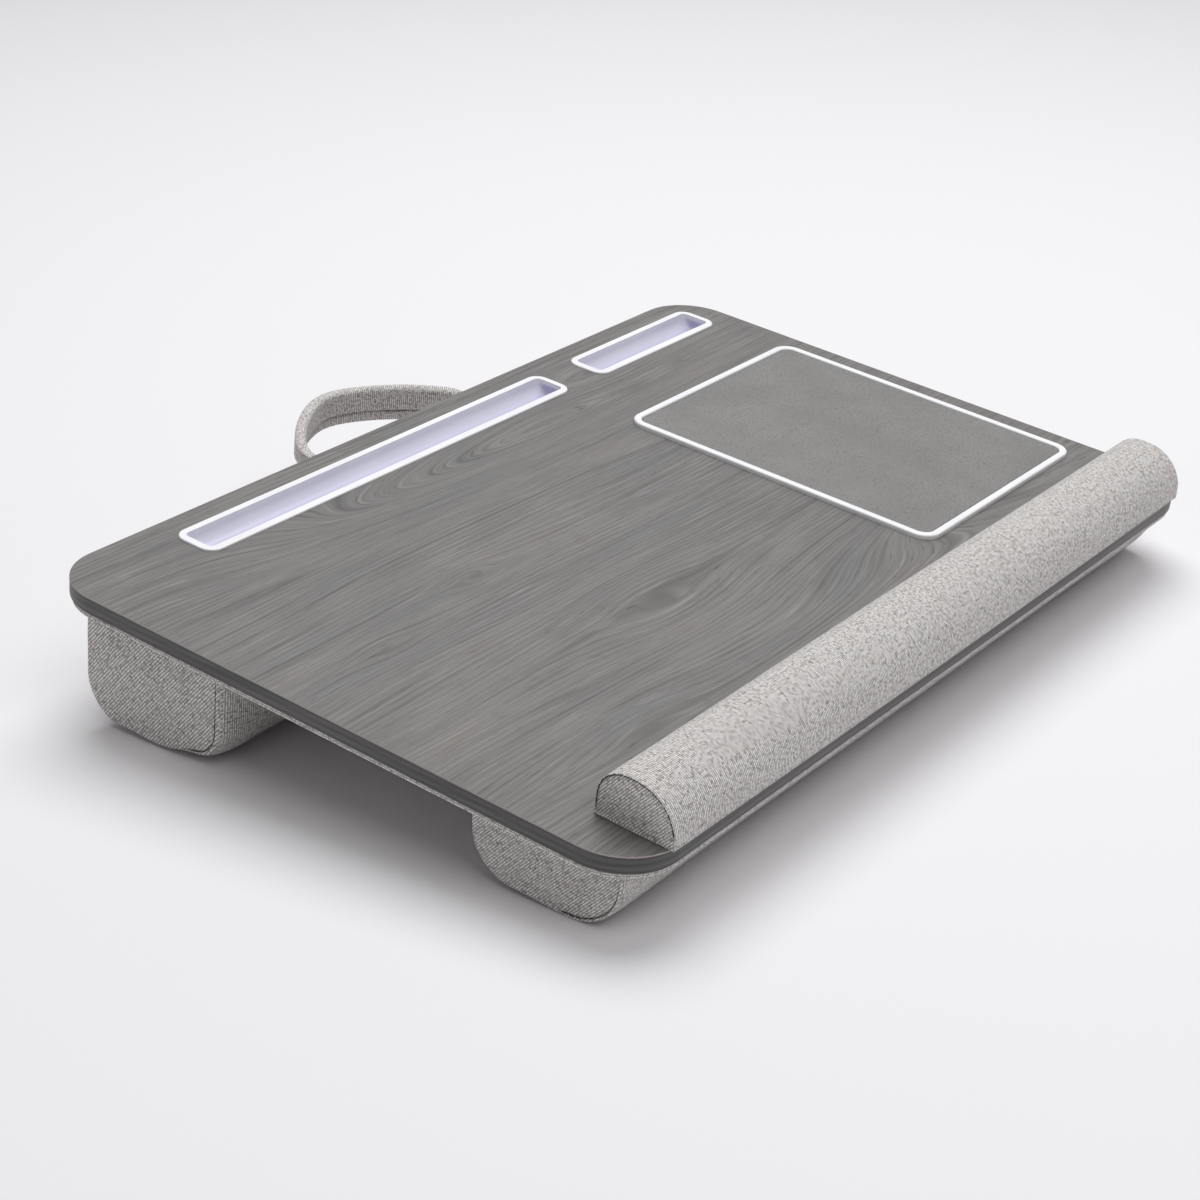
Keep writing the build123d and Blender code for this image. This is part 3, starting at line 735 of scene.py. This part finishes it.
# Blows the cloth up with its glued face and its seams held, and moves no point by more than
# mostMove, in mm
def blowUp(piece, blow):
    mesh = piece.data
    held = [i for mark in ("glued", "seamHeld")
            for i, v in enumerate(mesh.attributes[mark].data) if v.value > 0.5]
    piece.vertex_groups.new(name="held").add(held, 1.0, "REPLACE")
    modifier = piece.modifiers.new("cloth", "CLOTH")
    settings = modifier.settings
    settings.quality = blow["quality"]
    settings.mass = blow["mass"]
    settings.use_pressure = True
    settings.uniform_pressure_force = blow["pressure"]
    settings.vertex_group_mass = "held"
    settings.tension_stiffness = blow["tension"]
    settings.compression_stiffness = blow["compression"]
    settings.bending_stiffness = blow["bending"]
    settings.effector_weights.gravity = 0
    modifier.point_cache.frame_start = 1
    modifier.point_cache.frame_end = blow["frames"]
    for number in range(1, blow["frames"] + 1):
        scene.frame_set(number)
    graph = bpy.context.evaluated_depsgraph_get()
    blown = [v.co.copy() for v in piece.evaluated_get(graph).data.vertices]
    piece.modifiers.remove(modifier)
    piece.vertex_groups.clear()
    most = blow["mostMove"] / 1000
    moves = [end - vert.co for vert, end in zip(mesh.vertices, blown)]
    for vert, move in zip(mesh.vertices, moves):
        if move.length > 0:
            vert.co += move.normalized() * most * math.tanh(move.length / most)
    scene.frame_set(1)
    farthest = max(move.length for move in moves) * 1000
    print("blown up", piece.name, "by up to", round(farthest, 2), "mm before the cap")


# Nothing of a cushion goes under the floor: it lies flat where it rests
def layOnFloor(piece):
    for vert in piece.data.vertices:
        vert.co.z = max(vert.co.z, 0.0)


rolls = []
for rollName, shape in softRolls.items():
    roll = sewnRoll(rollName, shape, sewing)
    blowUp(roll, blowing)
    layOnFloor(roll)
    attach(roll, "desk")
    rolls.append(roll)
    print("made", rollName)


# Stitches: short dark loops of thread, laid one after another in the groove of each end seam
stitching = {"every": 4.2, "long": 2.9, "thick": 0.75, "sides": 6, "proud": 0.25, "farthest": 12.0}


def stitchSeams(pieces, look):
    bm = bmesh.new()
    toBoard = onBoard.inverted()
    for piece in pieces:
        marks = piece.data.attributes["seamLineAndFlapShade"].data
        seam = [toBoard @ v.co for v, mark in zip(piece.data.vertices, marks) if mark.value > 0.5]
        for side in (-1, 1):
            ring = [point for point in seam if point.x * side > 0]
            middle = sum(ring, Vector()) / len(ring)
            ring.sort(key=lambda point: math.atan2(point.z - middle.z, point.y - middle.y))
            waited = 0.0
            for start, end in zip(ring, ring[1:] + ring[:1]):
                along = end - start
                if along.length > look["farthest"]:
                    continue
                while waited < along.length:
                    place = start + along.normalized() * waited
                    place.x += side * look["proud"]
                    turnIt = along.to_track_quat("Z", "Y").to_matrix().to_4x4()
                    bmesh.ops.create_cone(bm, cap_ends=True, segments=look["sides"],
                                          radius1=look["thick"] / 2, radius2=look["thick"] / 2,
                                          depth=look["long"],
                                          matrix=Matrix.Translation(place) @ turnIt)
                    waited += look["every"]
                waited -= along.length
    piece = newPiece("seamStitches", bm, thread)
    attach(piece, "desk")


stitchSeams(rolls, stitching)
print("made seamStitches")


# Cloth wrapped round the base panel: a shallow tray of cloth, open where it is glued to the board
baseShape = {"wide": 597.5, "deep": 397.5, "middle": -200.0, "corner": 34.0, "top": -10.0,
             "bottom": -14.0, "bend": 1.2, "bendSteps": 4, "thick": 0.8, "cornerSteps": 14,
             "turnUp": 4.0}


def wrappedBase(shape):
    bm = bmesh.new()
    weave = bm.loops.layers.uv.new("weave")
    bm.verts.layers.float.new("seamLineAndFlapShade")
    x, y = shape["wide"] / 2, shape["deep"] / 2
    corners = [bm.verts.new((sx * x, shape["middle"] + sy * y, shape["bottom"]))
               for sx, sy in ((-1, -1), (1, -1), (1, 1), (-1, 1))]
    bm.faces.new(corners)
    for corner in corners:
        roundCorner(bm, corner, shape["corner"], shape["cornerSteps"])
    made = bmesh.ops.extrude_edge_only(bm, edges=list(bm.faces[:][0].edges))["geom"]
    raised = [v for v in made if isinstance(v, bmesh.types.BMVert)]
    bmesh.ops.translate(bm, vec=(0, 0, shape["top"] - shape["bottom"]), verts=raised)
    low = [e for e in bm.edges if all(abs(v.co.z - shape["bottom"]) < same for v in e.verts)]
    bmesh.ops.bevel(bm, geom=low, offset=shape["bend"], offset_type="OFFSET",
                    segments=shape["bendSteps"], profile=0.5, affect="EDGES", material=-1)
    bm.normal_update()
    for face in bm.faces:
        for loop in face.loops:
            place = loop.vert.co
            onRim = abs(face.normal.z) < 0.9
            loop[weave].uv = (place.z, place.x - place.y) if onRim else (place.x, place.y)
    piece = newPiece("baseCloth", bm, cloth)
    thickness = piece.modifiers.new("thickness", "SOLIDIFY")
    thickness.thickness = shape["thick"] / 1000
    thickness.offset = -1
    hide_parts("panel_cloth")
    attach(piece, "desk")


wrappedBase(baseShape)
print("made baseCloth")


# Mouse pad: a foam sheet under a leather-look skin, slightly crowned and turned down at its rim
padShape = {"middleX": 191.1, "middleY": -212.1, "wide": 172.8, "deep": 213.4, "corner": 6.7,
            "cornerSteps": 6, "low": -1.0, "high": 2.0, "edge": 0.9, "edgeSteps": 4,
            "rings": [(1.5, 0.06), (5.0, 0.16), (15.0, 0.28), (35.0, 0.36), (60.0, 0.4)]}


def mousePad(shape):
    bm = bmesh.new()
    x, y = shape["wide"] / 2, shape["deep"] / 2
    corners = [bm.verts.new((shape["middleX"] + sx * x, shape["middleY"] + sy * y, shape["low"]))
               for sx, sy in ((-1, -1), (1, -1), (1, 1), (-1, 1))]
    bm.faces.new(corners)
    for corner in corners:
        roundCorner(bm, corner, shape["corner"], shape["cornerSteps"])
    bm.faces.ensure_lookup_table()
    ring, _ = pullFace(bm, bm.faces[0], keepOld=True)
    bmesh.ops.translate(bm, vec=(0, 0, shape["high"] - shape["low"]), verts=ring)
    bmesh.ops.recalc_face_normals(bm, faces=bm.faces)
    rim = [e for e in bm.edges if all(abs(v.co.z - shape["high"]) < same for v in e.verts)]
    bmesh.ops.bevel(bm, geom=rim, offset=shape["edge"], offset_type="OFFSET",
                    segments=shape["edgeSteps"], profile=0.5, affect="EDGES", material=-1)
    top = max(bm.faces, key=lambda f: f.calc_center_median().z)
    growPanel(bm, top, Vector((0, 0, 1)), shape["rings"])
    piece = newPiece("mousePadSkin", bm, padSkinMaterial)
    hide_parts("pad_skin", "pad_foam")
    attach(piece, "desk")


mousePad(padShape)
print("made mousePadSkin")


# Carrying handle: a padded strap of the same cloth, folded over itself along its inner face,
# gathered at its two ends and sewn under the board
strapShape = {
    "halfSpan": 79.0, "reach": 80.0, "lean": 4.0, "point": 0.33, "pivotY": -11.0,
    "neckZ": -26.0, "crestZ": -21.7, "climbed": 0.4,
    "band": 24.0, "thick": 8.0, "neckThick": 6.5, "round": 3.4, "roundSteps": 5,
    "left": {"pinch": 28.0, "pinchRun": 0.45, "neckBand": 11.0, "grows": 0.45, "full": 1.0},
    "right": {"pinch": 14.0, "pinchRun": 0.15, "neckBand": 18.0, "grows": 0.0, "full": 0.4},
    "steps": 60, "turnStep": 0.01, "grid": 2.5,
    "sewnEnds": [(-16.0, 1.0), (-22.4, 0.92)],      # y, and the share of its width that is left
    "flap": 2.6, "flapAt": -4.2, "flapSlope": 0.3, "flapWave": 1.3, "waves": (6.0, 14.0),
    "fold": 1.1, "foldWide": 4.6, "foldRun": 20.0,
    "bendsFrom": -19.0, "bendsTo": 6.0,
}


def smoothShare(value, low, high):
    share = min(max((value - low) / (high - low), 0.0), 1.0)
    return share * share * (3 - 2 * share)


def strapSide(shape, turn):
    return shape["left"] if math.cos(turn) > 0 else shape["right"]


# The middle of the strap at a turn along its arch, which pinches in at its two necks
def strapMiddle(shape, turn):
    rise = math.sin(turn)
    side = strapSide(shape, turn)
    share = smoothShare(rise, 0.0, shape["climbed"])
    half = shape["halfSpan"] - side["pinch"] * math.exp(-(rise / side["pinchRun"]) ** 2)
    half *= 1 - shape["point"] * rise ** 3
    return Vector((-half * math.cos(turn) + shape["lean"] * rise,
                   shape["pivotY"] + shape["reach"] * rise,
                   shape["neckZ"] + (shape["crestZ"] - shape["neckZ"]) * share))


# Where the strap's middle is, how it stands and how large its section is
def strapStation(shape, turn):
    side = strapSide(shape, turn)
    share = smoothShare(math.sin(turn), side["grows"], side["full"])
    step = shape["turnStep"]
    along = strapMiddle(shape, turn + step) - strapMiddle(shape, turn - step)
    along.z = 0
    tall = (side["neckBand"] + (shape["band"] - side["neckBand"]) * share) / shape["band"]
    thick = (shape["neckThick"] + (shape["thick"] - shape["neckThick"]) * share) / shape["thick"]
    return strapMiddle(shape, turn), along.normalized(), tall, thick


def stationMatrix(place, along, tall, thick):
    up = Vector((0, 0, 1))
    out = up.cross(along)
    turnIt = Matrix((along, out, up)).transposed().to_4x4()
    return Matrix.Translation(place) @ turnIt @ Matrix.Diagonal((1, thick, tall, 1))


# All stations of the strap, from one hidden sewn end over the arch to the other
def strapStations(shape):
    steps = shape["steps"]
    stations = [strapStation(shape, math.pi * i / steps) for i in range(steps + 1)]
    for end in (0, -1):
        place, along, tall, thick = stations[end]
        for y, squeeze in shape["sewnEnds"]:
            extra = (Vector((place.x, y, place.z)), along, tall * squeeze, thick)
            stations.insert(0 if end == 0 else len(stations), extra)
    return stations


# The section at the crest: a rounded band with a flap folded over its inner face. Its points get
# their way round it, and a mark in the crease under the flap's edge, where a painted shadow line goes.
def strapSection(bm, shape):
    around = bm.verts.layers.float["around"]
    seamLineAndFlapShade = bm.verts.layers.float["seamLineAndFlapShade"]
    x, y = shape["thick"] / 2, shape["band"] / 2
    inner = -x
    outline = [(x, -y, shape["round"]), (x, y, shape["round"]), (inner, y, shape["round"]),
               (inner, shape["flapAt"] + shape["flapSlope"], 0),
               (inner + shape["flap"], shape["flapAt"], 0),
               (inner + shape["flap"], -y, shape["round"] - shape["flap"])]
    corners = [bm.verts.new((0, across, up)) for across, up, run in outline]
    bm.faces.new(corners)
    for corner, (across, up, run) in zip(corners, outline):
        if run:
            roundCorner(bm, corner, run, shape["roundSteps"])
    for edge in list(bm.edges):
        cuts = int(edge.calc_length() / shape["grid"])
        if cuts:
            bmesh.ops.subdivide_edges(bm, edges=[edge], cuts=cuts)
    bm.faces.ensure_lookup_table()
    section = bm.faces[0]
    loop = section.loops[0]
    distance = 0.0
    for _ in range(len(section.verts)):
        loop.vert[around] = distance
        # The crease under the flap's edge gets the seam's dark colour: a painted shadow line
        onFlap = abs(loop.vert.co.z - shape["flapAt"]) < same and loop.vert.co.y < 0
        loop.vert[seamLineAndFlapShade] = 1.0 if onFlap else 0.0
        distance += loop.edge.calc_length()
        loop = loop.link_loop_next
    return section


# Its ends are gathered into long folds that fade towards its middle, and its flap's edge is wavy
def gatherStrap(bm, shape, whole):
    around = bm.verts.layers.float["around"]
    length = bm.verts.layers.float["length"]
    seamLineAndFlapShade = bm.verts.layers.float["seamLineAndFlapShade"]
    slow, slower = shape["waves"]
    bm.normal_update()
    for vert in bm.verts:
        nearEnd = min(vert[length], whole - vert[length])
        fold = shape["fold"] * math.exp(-nearEnd / shape["foldRun"])
        vert.co += vert.normal * fold * math.sin(vert[around] * 2 * math.pi / shape["foldWide"])
        if vert[seamLineAndFlapShade] > 0.5:
            wave = shape["flapWave"] * math.sin(vert[length] / slow)
            vert.co.z += wave * math.cos(vert[length] / slower)


def carryStrap(shape):
    bm = bmesh.new()
    for layer in ("around", "length", "seamLineAndFlapShade"):
        bm.verts.layers.float.new(layer)
    weave = bm.loops.layers.uv.new("weave")
    around = bm.verts.layers.float["around"]
    length = bm.verts.layers.float["length"]
    section = strapSection(bm, shape)
    matrices = [stationMatrix(*station) for station in strapStations(shape)]
    bmesh.ops.transform(bm, matrix=matrices[0], verts=bm.verts)
    travelled = 0.0
    for before, after in zip(matrices, matrices[1:]):
        travelled += (after.translation - before.translation).length
        ring, section = pullFace(bm, section, keepOld=before is matrices[0])
        bmesh.ops.transform(bm, matrix=after @ before.inverted(), verts=ring)
        for vert in ring:
            vert[length] = travelled
    gatherStrap(bm, shape, travelled)
    for face in bm.faces:
        for corner in face.loops:
            corner[weave].uv = (corner.vert[length], corner.vert[around])
    piece = newPiece("carryStrap", bm, cloth)
    smoother = piece.modifiers.new("smooth", "SUBSURF")
    smoother.levels = 1
    smoother.render_levels = 1
    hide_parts("handle_sleeve", "handle_padding", "handle_tab_left", "handle_tab_right")
    start = onBoard @ Vector((0, shape["bendsFrom"], shape["neckZ"]))
    end = onBoard @ Vector((0, shape["bendsTo"], shape["neckZ"]))
    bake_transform(piece, "desk", "handle", start=start, end=end)


carryStrap(strapShape)
print("made carryStrap")


# Stage: a pale floor, a large soft lamp over the back, a weaker one in front, and an even sky
stageLook = {
    "floor": "F2F1F3",
    "floorRadius": 12.0,
    "floorSides": 96,
    "sky": "F1F0F1",
    "skyStrength": 0.22,
    "lamps": {
        "keyLamp": {"place": (0.85, 0.45, 2.9), "size": 2.6, "power": 71.0},
        "fillLamp": {"place": (-0.75, -1.65, 2.8), "size": 2.2, "power": 29.0},
    },
}


def makeStage(look):
    bm = bmesh.new()
    bmesh.ops.create_circle(bm, cap_ends=True, segments=look["floorSides"],
                            radius=look["floorRadius"])
    mesh = bpy.data.meshes.new("studioFloor")
    bm.to_mesh(mesh)
    bm.free()
    floor = bpy.data.objects.new("studioFloor", mesh)
    scene.collection.objects.link(floor)
    paint = newMaterial("mattFloorPaper")
    surface = addNode(paint, "BsdfPrincipled", {}, {
        "Base Color": linear(look["floor"]), "Roughness": 0.95, "Specular IOR Level": 0.1})
    addNode(paint, "OutputMaterial", {}, {"Surface": surface})
    mesh.materials.append(paint)
    world = bpy.data.worlds.new("studioSky")
    scene.world = world
    world.use_nodes = True
    world.node_tree.nodes.clear()
    path = addNode(world, "LightPath").outputs
    mirrored = addNode(world, "Math", larger, [path["Is Glossy Ray"], path["Is Transmission Ray"]])
    seen = addNode(world, "Math", larger, [path["Is Camera Ray"], mirrored])
    strength = addNode(world, "MapRange", {}, {
        "Value": seen, "To Min": look["skyStrength"], "To Max": 1.0})
    sky = addNode(world, "Background", {}, {"Color": linear(look["sky"]), "Strength": strength})
    addNode(world, "OutputWorld", {}, {"Surface": sky})
    for name, settings in look["lamps"].items():
        lamp = bpy.data.lights.new(name, "AREA")
        lamp.shape = "DISK"
        lamp.size = settings["size"]
        lamp.energy = settings["power"]
        place = Vector(settings["place"])
        lampObject = bpy.data.objects.new(name, lamp)
        turnIt = place.to_track_quat("Z", "Y").to_matrix().to_4x4()
        lampObject.matrix_world = Matrix.Translation(place) @ turnIt
        scene.collection.objects.link(lampObject)


makeStage(stageLook)

# Camera: fitted to the photograph's board edges. Its place is measured from the board's back edge.
cameraFit = {"place": (-1.13257, -0.98829, 0.57794), "forward": (0.72873, 0.53703, -0.42490),
             "roll": 0.631, "lens": 76.79, "sensor": 36.0, "farEnd": 60.0}


def makeCamera(fit):
    data = bpy.data.cameras.new("photoCamera")
    data.lens = fit["lens"]
    data.sensor_width = fit["sensor"]
    data.sensor_fit = "HORIZONTAL"
    data.clip_end = fit["farEnd"]
    camera = bpy.data.objects.new("photoCamera", data)
    turnIt = Vector(fit["forward"]).to_track_quat("-Z", "Y").to_matrix().to_4x4()
    place = Matrix.Translation(boardBack + Vector(fit["place"]))
    camera.matrix_world = place @ turnIt @ Matrix.Rotation(math.radians(fit["roll"]), 4, "Z")
    scene.collection.objects.link(camera)
    scene.camera = camera


makeCamera(cameraFit)
scene.view_settings.view_transform = "Standard"

print("scene ready")
